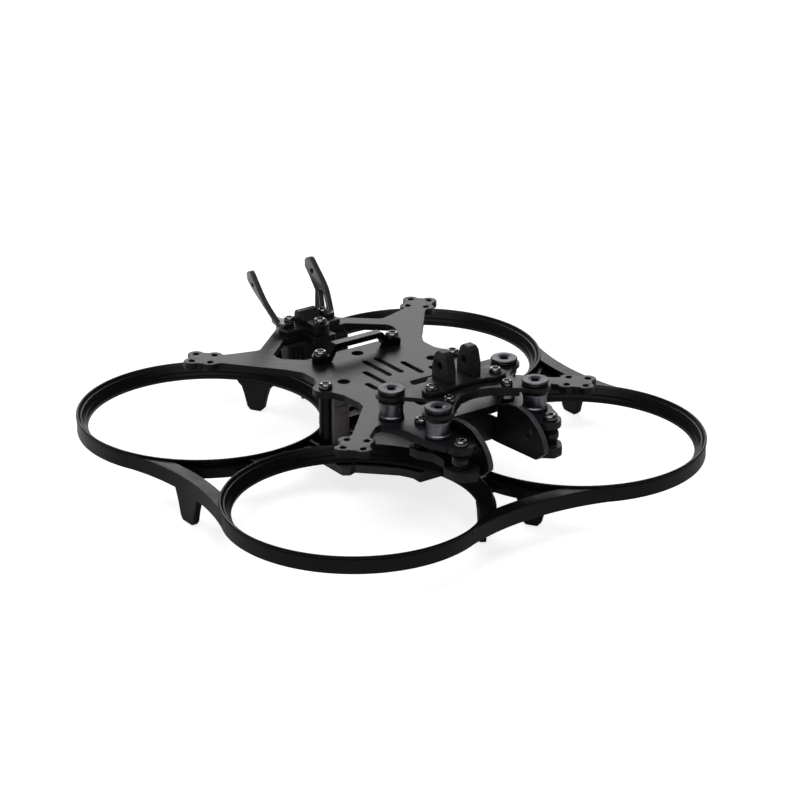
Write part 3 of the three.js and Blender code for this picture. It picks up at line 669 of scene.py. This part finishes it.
# ---------------------------------------------------------------- hub
def hub_tray():
    end = [(0, 29.4), (8.3, 29.4), (9.9, 25.6), (11.6, 22.4), (22.1, 12.0), (24.6, 13.0), (26.8, 11.5)]
    half = end + [(x, -y) for x, y in reversed(end)]
    outline = fillet([p for p in half if p[0] > 0] + [(-x, y) for x, y in reversed(half) if x > 0], 0.8)
    low, high = DECK - 27.6, RING_BOTTOM - 0.3
    rim = plate([outline], low, high, 0.3, cut=[circle(18.03, 0, 1.6), circle(-18.03, 0, 1.6)])
    pocket = plate([[(0.86 * x, 0.86 * y) for x, y in outline]], high - 0.9, high + 1, 0.1,
                   cut=[circle(18.03, 0, 3.2), circle(-18.03, 0, 3.2)])
    front = block(-8.3, 8.3, -29.4, -25.0, low - 0.8, high)
    ribs = [block(x - 0.5, x + 0.5, -24.4, 24.4, high - 1.1, high - 0.2, 0.1, 0.1) for x in (-6.5, 6.5)]
    return combine(rim, [front], [pocket]), ribs


tray, tray_ribs = hub_tray()
piece("hub_tray_moulding", combine(tray, tray_ribs), tray_plastic, "frame", ["hub_tray"])

for name, side in SIDES:
    x, y, low, high = side * HUB_POST_X, HUB_POST_Y, RING_BOTTOM + 2.3, DECK_BOTTOM - 0.3
    front = y - 0.7
    grip = plate([fillet([(x - 3.1, low), (x + 3.1, low), (x + 3.1, high), (x - 3.1, high)], 0.3)], front,
                 y + 0.7,
                 0.15, matrix=CROSSWAYS)
    recesses = [block(x - 2.7, x + 2.7, front - 1, front + 0.45, high - 3.6, high - 2.4, 0.05, 0.1),
                block(x - 2.7, x + 2.7, front - 1, front + 0.25, high - 6.4, high - 3.7, 0.05, 0.1)]
    recesses += [block(x + k, x + k + 0.12, front - 1, front + 0.12, low + 1.0, high - 6.6, 0.02, 0.03)
                 for k in (-1.7, 0.4, 1.5)]
    piece(f"hub_clip_{name}", combine(grip, [], recesses), clip_plastic, "frame", [f"hub_post_{name}"])
    x = side * STANDOFF_X
    low, high = RING_BOTTOM + 3.5, DECK_BOTTOM - 0.3
    tube = [(0, low), (2.1, low), (2.3, low + 0.2), (2.3, low + 1.0), (2.22, low + 1.1), (2.22, high - 1.1),
            (2.3, high - 1.0), (2.3, high - 0.2), (2.1, high), (0, high)]
    piece(f"standoff_tube_{name}", lathe(tube, x, STANDOFF_Y), anodised, "frame", [f"standoff_{name}"])


# ---------------------------------------------------------------- deck
def slot_outline(x, rear, front, width):
    half = width / 2
    return arc(x, rear - half, half, 0, 180, 10) + arc(x, front + half, half, 180, 360, 10)


def deck():
    half = [(7.6, 56.5), (8.9, 53.6), (25.3, 39.5), (37.0, 43.0), (40.0, 46.2), (46.2, 40.0), (41.8, 36.8),
            (27.6, 19.2), (24.6, 14.0), (24.6, 7.6), (26.6, 3.4), (26.6, -5.0), (24.7, -10.0), (24.2, -18.0),
            (24.9, -20.8), (40.6, -37.4), (46.2, -40.4), (40.4, -46.2), (36.4, -41.4), (31.4, -37.3),
            (28.4, -36.6),
            (25.6, -46.0), (25.0, -54.2), (22.4, -62.6), (14.2, -62.6), (14.6, -50.0), (13.2, -45.0)]
    radii = [1.2, 1.5, 3.0, 4.0, 0.5, 0.5, 3.0, 6.0, 4.0, 3.0, 2.0, 2.0, 6.0, 6.0, 3.0, 3.0, 0.5, 0.5, 3.0,
             4.0, 2.0,
             6.0, 6.0, 1.0, 1.0, 6.0, 2.0]
    add = [fillet(mirrored(half), radii + radii[::-1])]
    for side in (-1, 1):
        add.append(circle(side * STANDOFF_X, STANDOFF_Y, 4.3))
        add.append(circle(side * POST_REAR[0], POST_REAR[1], 6.0))
        add.append(circle(side * POST_FRONT[0], POST_FRONT[1], 5.8))
        add.append(circle(side * 17.1, -63.3, 4.7))
    cut = [fillet(mirrored([(4.5, 37.0), (4.5, 43.2), (12.6, 43.2), (23.6, 33.6), (24.0, 30.6), (23.4, 28.2),
                            (17.6, 23.2)]),
                  [0.8, 0.8, 2.0, 2.0, 1.5, 1.5, 2.0, 2.0, 1.5, 1.5, 2.0, 2.0, 0.8, 0.8]),
           fillet(rectangle(-9.4, 9.4, -31.0, -12.4), 1.2)]
    for side in (-1, 1):
        cut.append(slot_outline(side * 2.4, 11.2, -4.7, 1.9))
        cut.append(slot_outline(side * 7.7, 3.3, -8.8, 1.9))
        cut.append(slot_outline(side * 12.9, -5.5, -12.1, 1.9))
        cut.append(circle(side * 18.03, 0, 2.0, 32))
    cut.append(circle(0, 18.03, 2.0, 32))
    for _, sx, sy in QUARTERS:
        x, y = sx * MOTOR, sy * MOTOR
        add.append(circle(x, y, 5.0))
        for dx, dy in ((1, 0), (-1, 0), (0, 1), (0, -1)):
            add.append(circle(x + 4.5 * dx, y + 4.5 * dy, 2.8, 40))
            cut.append(circle(x + 4.5 * dx, y + 4.5 * dy, 1.05, 20))
    return plate(add, DECK_BOTTOM, DECK, 0.22, cut)


piece("deck_plate", deck(), carbon, "frame", ["carbon_deck"])


# ---------------------------------------------------------------- screws
def socket_screw(x, y, seat, radius, height, socket=0.46):
    """A button-head screw with a hexagon socket."""
    s = radius * socket
    depth = height * 0.55
    profile = [(0, seat), (radius * 0.93, seat), (radius, seat + height * 0.06),
               (radius, seat + height * 0.42),
               (radius * 0.96, seat + height * 0.6), (radius * 0.86, seat + height * 0.82),
               (radius * 0.72, seat + height * 0.95), (radius * 0.60, seat + height),
               (s * 1.12, seat + height),
               (s, seat + height - 0.06), (s, seat + height - depth), (0, seat + height - depth - 0.15)]
    return lathe(profile, x, y, 48, hexagon=(9, 10))


def screw_piece(name, cad, x, y, seat, radius, height, material, body="frame"):
    piece(name, socket_screw(x, y, seat, radius, height), material, body, [cad], sharp=32)


for name, side in SIDES:
    screw_piece(f"standoff_bolt_{name}", f"standoff_screw_{name}", side * STANDOFF_X, STANDOFF_Y, DECK + 0.05,
                2.3, 1.6,
                steel)
    screw_piece(f"handle_bolt_{name}", f"handle_screw_{name}", side * HANDLE_X, HANDLE_Y, DECK + 2.55, 2.4,
                1.7,
                steel)
    screw_piece(f"antenna_bolt_{name}", f"antenna_screw_{name}", side * 6.9, 48.9, DECK + 3.65, 1.8, 1.4,
                steel)
    screw_piece(f"prong_bolt_{name}", f"prong_screw_{name}", side * 12.7, -41.7, DECK + 10.15, 2.1, 1.4,
                steel,
                "action_mount")
    screw_piece(f"ball_bolt_front_{name}", f"ball_screw_front_{name}", side * BALL_FRONT[0], BALL_FRONT[1],
                DECK + 0.05, 2.4, 1.6, steel)
    screw_piece(f"ball_bolt_rear_{name}", f"ball_screw_rear_{name}", side * BALL_REAR[0], BALL_REAR[1],
                DECK + 0.05,
                2.4, 1.6, steel)
screw_piece("antenna_mount_bolt", "antenna_mount_screw", 0, 40.5, DECK + 3.95, 2.3, 1.6, steel)


# ---------------------------------------------------------------- bridge handle
def bridge_handle():
    seat, rise, x, y = DECK + 0.05, 5.7, HANDLE_X, HANDLE_Y
    half = [(8.6, seat + rise - 1.9), (x - 3.4, seat), (x + 3.2, seat), (x + 3.2, seat + 2.45),
            (x - 2.6, seat + 2.45),
            (9.6, seat + rise)]
    radii = [2.0, 1.0, 0.5, 0.8, 1.5, 1.2]
    bar = plate([fillet(mirrored(half), radii + radii[::-1], 5)], y - 3.0, y + 3.0, 0.25, matrix=CROSSWAYS)
    waist = mirrored([(9.2, y - 1.5), *arc(x, y, 2.9, -125, 125, 20), (9.2, y + 1.5)])
    outside = plate([rectangle(-25, 25, y - 6, y + 6)], seat - 2, seat + rise + 2, 0, cut=[waist])
    return combine(bar, [], [outside])


piece("handle_bar", bridge_handle(), anodised, "frame", ["bridge_handle"])


# ---------------------------------------------------------------- antenna mount and arms
def antenna_base():
    seat = DECK + 0.05
    half = [(6.0, 55.5), (9.2, 52.4), (10.8, 49.4), (10.8, 43.6), (3.4, 43.0), (3.4, 40.3), (1.4, 38.2)]
    base = plate([fillet(mirrored(half), 1.0)], seat, DECK + 1.95, 0.3)
    boss = plate([circle(0, 40.5, 3.3), fillet(rectangle(-3.2, 3.2, 40.5, 47.0), 0.5)], seat, DECK + 3.9, 0.3)
    hump = [(44.5, seat), (50.6, seat), (50.6, DECK + 5.4), (49.9, DECK + 6.5), (47.6, DECK + 6.5),
            (45.0, DECK + 3.9)]
    lid = plate([fillet(hump, 0.5)], -3.8, 3.8, 0.3, matrix=SIDEWAYS)
    grooves = [block(-3.0, 3.0, 47.9 + 0.7 * i, 48.15 + 0.7 * i, DECK + 6.2, DECK + 7, 0.05,
                     0.05) for i in range(3)]
    return combine(base, [boss, lid], grooves)


piece("antenna_base", antenna_base(), mount_plastic, "frame", ["antenna_mount"])
def tail_apron():
    """The block below the tail: its front is ribbed and has a shallow arch for the leads."""
    low, high, front = DECK_BOTTOM - 10.8, DECK_BOTTOM - 0.1, 41.0
    body = block(-12.6, 12.6, front, 46.0, low, high, 0.4, 1.4)
    cuts = [block(x - 0.35, x + 0.35, front - 1, front + 0.6, low - 1, high - 1.2, 0.05, 0.1)
            for x in (-10.4, -8.6, -6.8, 6.8, 8.6, 10.4)]
    cuts.append(plate([arc(0, low + 3.4, 3.6, 0, 180, 16) + [(-3.6, low - 1), (3.6, low - 1)]], front - 1,
                      front + 2.4,
                      0.1, matrix=CROSSWAYS))
    return combine(body, [], cuts)


piece("antenna_cable_block", tail_apron(), mount_plastic, "frame", ["antenna_under_block"])


def arm_reach(y, z):
    """How far out the arm's outer face stands: it leans outward to the knee, then goes straight."""
    z -= DECK
    leaning = 11.4 - 0.3 * (y - 49.8) + 0.575 * (z - 2.2)
    upright = 14.1 - 0.1 * (y - 54.8) + 0.03 * (z - 9.5)
    gap = leaning - upright
    return upright + (gap - math.sqrt(gap * gap + 0.8)) / 2


def antenna_arm():
    foot = DECK + 2.0
    blade = [(48.3, foot), (54.8, foot), (58.2, DECK + 8.2), (61.0, DECK + 10.5), (65.6, DECK + 14.6),
             (65.9, DECK + 17.1), (64.9, DECK + 18.1), (63.7, DECK + 18.3), (62.7, DECK + 17.6),
             (54.8, DECK + 9.5)]
    outline = fillet(blade, [0.5, 0.5, 1.5, 1.0, 0.7, 0.5, 0.5, 0.5, 0.7, 1.2], 5)
    slot = fillet([(50.4, DECK + 3.3), (53.2, DECK + 3.3), (57.2, DECK + 8.8), (55.2, DECK + 8.8)], 0.6)
    bm = plate([outline], -2.2, 0, 0.3, [slot, circle(61.7, DECK + 14.0, 0.8, 24)])
    for shift in (-2.0, -1.2, -0.6, 0.0, 0.6, 1.2, 2.0):
        geometry = bm.verts[:] + bm.edges[:] + bm.faces[:]
        bmesh.ops.bisect_plane(bm, geom=geometry, dist=1e-4, plane_co=(54.8, DECK + 9.5 + shift, 0),
                               plane_no=(-0.2, 0.545, 0))
    for v in bm.verts:
        y, z = v.co.x, v.co.y
        v.co = Vector((arm_reach(y, z) + v.co.z, y, z))
    tab = [(4.6, 48.9), (6.9, 46.6), (10.4, 46.6), (11.6, 49.5), (10.6, 54.5), (8.0, 54.5), (6.9, 51.2)]
    tongue = plate([fillet(tab, [1.8, 1.8, 0.8, 0.8, 0.5, 0.5, 1.5])], foot, foot + 1.5, 0.25)
    return combine(bm, [tongue])


arm = antenna_arm()
piece("antenna_blade_right", mirror_x(arm), arm_metal, "frame", ["antenna_arm_right"])
piece("antenna_blade_left", arm, arm_metal, "frame", ["antenna_arm_left"])


# ---------------------------------------------------------------- damped action-camera mount
def bobbin_post(x, y):
    low, high, r = DECK + 0.05, POST_TOP, 4.2
    profile = [(1.2, low), (r - 0.2, low), (r, low + 0.2), (r, low + 0.9), (r - 0.35, low + 1.2),
               (r - 0.35, high - 1.2), (r, high - 0.9), (r, high - 0.3), (r - 0.3, high), (1.2, high)]
    return lathe(profile, x, y, 72)


def grommet_low(x, y):
    low, high = POST_TOP + 0.05, BRACKET_BOTTOM - 0.02
    profile = [(1.3, low), (3.9, low), (4.3, low + 0.2), (4.4, (low + high) / 2), (4.2, high - 0.15),
               (3.9, high),
               (2.7, high), (2.6, high + 0.2), (2.6, BRACKET_TOP - 0.1), (1.3, BRACKET_TOP - 0.1)]
    return lathe(profile, x, y, 64)


def grommet_high(x, y):
    low, high = BRACKET_TOP + 0.02, CAP_BOTTOM - 0.05
    profile = [(1.3, low), (3.9, low), (4.25, low + 0.2), (4.4, (low + high) / 2), (4.25, high - 0.2),
               (3.9, high),
               (1.3, high)]
    return lathe(profile, x, y, 64)


def washer_cap(x, y):
    low, high, r = CAP_BOTTOM, CAP_TOP, 4.4
    profile = [(1.35, low), (r - 0.15, low), (r, low + 0.15), (r, high - 0.25), (r - 0.25, high), (2.5, high),
               (2.3, high - 0.12), (1.6, high - 0.16), (1.35, high - 0.3)]
    return lathe(profile, x, y, 72)


for name, sx, sy in QUARTERS:
    spot = POST_REAR if sy > 0 else POST_FRONT
    x, y = sx * spot[0], spot[1]
    piece(f"bobbin_{name}", bobbin_post(x, y), post_metal, "frame", [f"damper_post_{name}"])
    piece(f"grommet_low_{name}", grommet_low(x, y), rubber,
          ("frame", "action_mount", (x * MM, y * MM, POST_TOP * MM),
           (x * MM, y * MM, (BRACKET_BOTTOM - 0.1) * MM)),
          [f"damper_grommet_{name}"])
    piece(f"grommet_high_{name}", grommet_high(x, y), rubber,
          ("frame", "action_mount", (x * MM, y * MM, CAP_BOTTOM * MM),
           (x * MM, y * MM, (BRACKET_TOP + 0.1) * MM)),
          [f"damper_grommet_{name}"])
    piece(f"washer_{name}", washer_cap(x, y), cap_metal, "frame", [f"damper_cap_{name}"])


def bracket():
    half = [(13.6, -32.3), (11.8, -28.4), (22.6, -28.4), (22.6, -38.0), (17.4, -43.0), (17.0, -48.6),
            (19.3, -54.2),
            (16.0, -57.6), (10.6, -52.2), (6.0, -48.6), (2.0, -47.5)]
    radii = [1.5, 0.6, 2.0, 1.0, 4.0, 4.0, 0.5, 1.0, 4.0, 4.0, 2.0]
    body = fillet(mirrored(half), radii + radii[::-1])
    cut, eyelets = [], []
    for side in (-1, 1):
        for x, y in (POST_REAR, POST_FRONT):
            eyelets.append(circle(side * x, y, 5.1))
            cut.append(circle(side * x, y, 3.0, 40))
        cut.append(circle(side * 11.5, -49.5, 1.5, 24))
    top = plate([body, *eyelets], BRACKET_BOTTOM, BRACKET_TOP, 0.3, cut)
    lip = mirrored([(1.5, -47.5), (6.0, -48.6), (10.6, -52.2), (12.9, -54.4), (14.4, -52.4), (13.0, -48.0),
                    (8.0, -44.6), (1.5, -43.7)])
    apron = plate([fillet(lip, 0.8)], BRACKET_BOTTOM - 1.4, BRACKET_TOP - 0.3, 0.25,
                  [circle(s * 11.5, -49.5, 1.5, 24) for s in (-1, 1)])
    return combine(top, [apron])


piece("bracket_plate", bracket(), mount_plastic, "action_mount", ["damped_bracket"])


def prongs():
    seat, base_top, top, pivot = BRACKET_TOP + 0.05, DECK + 10.1, DECK + 20.6, DECK + 15.1
    half = [(8.0, -33.0), (12.7, -37.8), (15.6, -40.0), (16.4, -42.6), (14.4, -45.2), (10.0, -45.6),
            (7.4, -44.4),
            (2.0, -43.6)]
    base = plate([fillet(mirrored(half), 1.3)], seat, base_top, 0.35)
    y = -37.6
    finger = [(y - 4.4, seat + 0.3), (y + 4.4, seat + 0.3), (y + 4.2, pivot - 0.6), (y + 2.6, top - 1.6),
              (y + 1.2, top - 0.5), (y - 1.8, top - 0.5), (y - 3.2, top - 1.6), (y - 4.4, pivot - 0.2)]
    outline = fillet(finger, [0.5, 0.5, 0.9, 0.7, 0.7, 0.7, 0.7, 0.9])
    fingers, cuts = [], []
    for side in (-1, 1):
        left = side * 5.0 - 1.65
        fingers.append(plate([outline], left, left + 3.3, 0.25, matrix=SIDEWAYS))
        outer = side * 6.65
        near, far = sorted((outer - 0.35 * side, outer + side))
        cuts.append(cross_bore(y + 0.4, pivot, 2.3, near, far))
    cuts.append(cross_bore(y + 0.4, pivot, 1.35, -12, 12))
    return combine(base, fingers, cuts)


piece("prong_base", prongs(), prong_plastic, "action_mount", ["prong_mount"])


def stud(x):
    y, low = -49.5, DECK + 4.1
    nut_top = BRACKET_BOTTOM - 1.45
    nut = lathe([(0, low), (1.85, low), (2.05, low + 0.2), (2.05, nut_top - 0.2), (1.85, nut_top),
                 (0, nut_top)], x, y, 48,
                hexagon=(1, 2, 3, 4))
    shank = bore(x, y, 1.15, low + 0.5, BRACKET_TOP + 0.4)
    head = socket_screw(x, y, BRACKET_TOP + 0.05, 1.9, 1.65)
    return combine(nut, [shank, head])


for name, side in SIDES:
    piece(f"stud_{name}", stud(side * 11.5), steel, "action_mount", [f"bracket_stud_{name}"],
          sharp=30)


# ---------------------------------------------------------------- damped camera cage
def cheek(side):
    points = [(-44.0, DECK - 12.5), (-44.0, DECK - 5.4), (-46.2, DECK - 3.6), (-46.8, DECK + 0.8),
              (-52.0, DECK + 3.0),
              (-56.5, DECK + 3.5), (-62.5, DECK + 2.6), (-67.4, DECK - 0.5), (-69.9, DECK - 3.4),
              (-71.1, DECK - 6.4),
              (-71.0, DECK - 8.2), (-66.9, DECK - 11.5), (-48.5, DECK - 12.4)]
    outline = fillet(points, [0.6, 0.6, 1.0, 2.0, 6.0, 8.0, 8.0, 6.0, 5.0, 3.0, 1.0, 1.0, 2.0], 6)
    left = 10.0 if side > 0 else -12.0
    pivot, lock = circle(-64.3, DECK - 2.5, 1.1, 28), circle(-61.6, DECK - 5.2, 1.0, 24)
    return plate([outline], left, left + 2.0, 0.22, [pivot, lock], matrix=SIDEWAYS)


def cradle():
    solids = []
    wing = [(11.9, -38.6), (18.6, -38.6), (20.8, -40.6), (20.6, -44.4), (17.8, -49.4), (18.0, -55.6),
            (21.8, -60.6),
            (21.6, -65.4), (19.0, -69.2), (15.2, -70.0), (11.9, -67.0)]
    for side in (1, -1):
        outline = [(side * x, y) for x, y in wing]
        solids.append(plate([fillet(outline, [0.7, 1.5, 1.5, 3.0, 4.0, 4.0, 3.0, 3.0, 2.5, 1.5, 0.7])],
                            WING_BOTTOM,
                            WING_TOP, 0.4))
    low = DECK - 12.6
    half = [(8.7, DECK - 3.2), (12.6, DECK - 5.4), (13.6, WING_TOP), (13.6, low)]
    wall = plate([fillet(mirrored(half), 0.8)], -43.7, -41.4, 0.3, matrix=CROSSWAYS)
    return combine(wall, solids)


piece("cage_frame", cradle(), wing_plastic, "camera_cage", ["cage_cradle"])
for name, side in SIDES:
    piece(f"cheek_{name}", cheek(side), cheek_carbon, "camera_cage", [f"cheek_plate_{name}"])


def ball(x, y):
    """A squashed ball between two collars."""
    high, low, r, neck = DECK_BOTTOM - 0.05, WING_TOP + 0.05, 2.95, 2.0
    profile = [(0, low), (2.3, low), (2.5, low + 0.2), (2.5, low + 0.55), (neck, low + 0.75)]
    middle, half = (low + high) / 2, (high - low) / 2 - 0.9
    for k in range(11):
        a = math.radians(-74 + 148 * k / 10)
        profile.append((neck - 0.1 + (r - neck + 0.1) * math.cos(a), middle + half * math.sin(a)))
    profile += [(neck, high - 0.75), (2.5, high - 0.55), (2.5, high - 0.2), (2.3, high), (0, high)]
    return lathe(profile, x, y, 56)


for end, spot in (("front", BALL_FRONT), ("rear", BALL_REAR)):
    for name, side in SIDES:
        x, y = side * spot[0], spot[1]
        piece(f"ball_{end}_{name}", ball(x, y), rubber,
              ("frame", "camera_cage", (x * MM, y * MM, (DECK_BOTTOM - 0.4) * MM),
               (x * MM, y * MM, (WING_TOP + 0.4) * MM)),
              [f"rubber_ball_{end}_{name}"])


# ---------------------------------------------------------------- studio
floor_material, floor_tree, floor_shader, floor_where = new_material("pale_floor")
paper = noise(floor_tree, floor_where, 60.0, 3.0)
floor_tree.links.new(mix_colours(floor_tree, paper, (0.93, 0.93, 0.93), (0.96, 0.96, 0.96)),
                     floor_shader.inputs["Base Color"])
floor_shader.inputs["Roughness"].default_value = 0.9
floor_shader.inputs["Specular IOR Level"].default_value = 0.1
seen_directly = floor_tree.nodes.new("ShaderNodeLightPath").outputs["Is Camera Ray"]
floor_shader.inputs["Emission Color"].default_value = (1.0, 1.0, 1.0, 1.0)
floor_parts = node(floor_tree, "ShaderNodeSeparateXYZ")
floor_tree.links.new(floor_where, floor_parts.inputs[0])
to_the_back = remap(floor_tree, floor_parts.outputs["Y"], 0.0, 1.0, 0.04, 0.30)
to_camera = maths(floor_tree, "MULTIPLY", seen_directly, 0.80)
floor_tree.links.new(maths(floor_tree, "MAXIMUM", to_the_back, to_camera),
                     floor_shader.inputs["Emission Strength"])
bm = bmesh.new()
bmesh.ops.create_grid(bm, x_segments=8, y_segments=8, size=6.0)
floor_mesh = bpy.data.meshes.new("floor")
bm.to_mesh(floor_mesh)
bm.free()
floor = bpy.data.objects.new("floor", floor_mesh)
floor.location.z = -0.0002
floor_mesh.materials.append(floor_material)
scene.collection.objects.link(floor)

world = bpy.data.worlds.new("world")
scene.world = world
world.use_nodes = True
sky_tree = world.node_tree
background = sky_tree.nodes["Background"]
sky_way = sky_tree.nodes.new("ShaderNodeTexCoord").outputs["Generated"]


def sky_lobe(direction, low, high, reach):
    """Brightness that grows towards one direction of the sky, from low to high."""
    dot = node(sky_tree, "ShaderNodeVectorMath", operation="DOT_PRODUCT")
    dot.inputs[1].default_value = Vector(direction).normalized()
    sky_tree.links.new(sky_way, dot.inputs[0])
    return remap(sky_tree, dot.outputs["Value"], low, high, *reach)


overhead = sky_lobe((0, 0, 1), 0.25, 1.35, (0.15, 0.85))
behind = sky_lobe((0.55, 0.75, 0.42), 0.0, 0.58, (0.72, 0.99))
to_left = sky_lobe((-0.74, 0.55, 0.36), 0.0, 1.7, (0.70, 0.97))
to_right = sky_lobe((0.85, -0.5, 0.1), 0.0, 0.7, (0.75, 0.99))
in_front = sky_lobe((-0.55, -0.75, 0.42), 0.0, 0.5, (0.72, 0.99))
glow = maths(sky_tree, "ADD", maths(sky_tree, "ADD", overhead, behind),
             maths(sky_tree, "ADD", to_left, to_right))
glow = maths(sky_tree, "ADD", glow, in_front)
sky_tree.links.new(glow, background.inputs["Strength"])


def softbox(name, place, size, power, aim=(0, 0, 0.03)):
    data = bpy.data.lights.new(name, "AREA")
    data.shape, data.size, data.size_y, data.energy = "RECTANGLE", size[0], size[1], power
    light = bpy.data.objects.new(name, data)
    scene.collection.objects.link(light)
    light.location = place
    direction = Vector(aim) - Vector(place)
    light.rotation_mode = "QUATERNION"
    light.rotation_quaternion = direction.to_track_quat("-Z", "Y")
    return light


softbox("rear_softbox", (0.38, 0.62, 0.34), (0.7, 0.3), 1.5, (0, 0.03, 0.03))
softbox("top_softbox", (-0.2, -0.2, 1.3), (1.2, 1.2), 6.0)
scene.view_settings.view_transform = "Standard"
scene.view_settings.look = "None"
